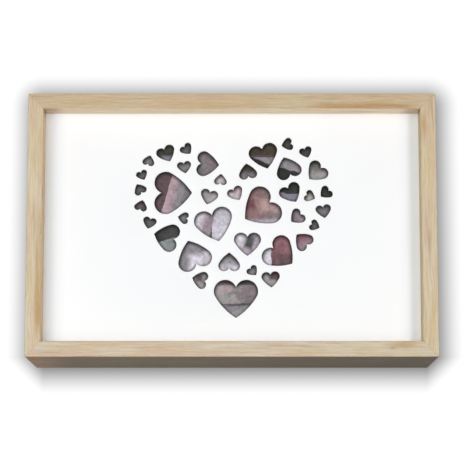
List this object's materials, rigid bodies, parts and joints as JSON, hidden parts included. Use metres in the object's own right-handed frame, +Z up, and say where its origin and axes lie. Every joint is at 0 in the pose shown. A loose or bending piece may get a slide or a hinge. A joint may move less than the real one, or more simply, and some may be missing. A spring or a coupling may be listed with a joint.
{
  "type": "wooden storage box",
  "caption": "Shallow wooden storage box with mitred boards and a lift-off lid that frames a white panel pierced by small hearts forming one large heart.",
  "frame": {"origin": "on the ground, under the middle of the closed box", "axes": "+X along the length, +Y from the front to the back, +Z up through the lid; the tip of the large heart points to the front, -Y"},
  "size_m": [0.3, 0.195, 0.08],
  "materials": {
    "pale_wood": "matte",
    "floor_plywood": "matte",
    "white_panel_paint": "satin",
    "picture_print": "satin"
  },
  "bodies": {
    "root": {"box_front_board": "pale_wood", "box_right_board": "pale_wood", "box_back_board": "pale_wood", "box_left_board": "pale_wood", "box_floor_panel": "floor_plywood", "lid_front_rail": "pale_wood", "lid_right_rail": "pale_wood", "lid_back_rail": "pale_wood", "lid_left_rail": "pale_wood", "heart_panel": "white_panel_paint", "picture_board": "picture_print"}
  },
  "joints": []
}
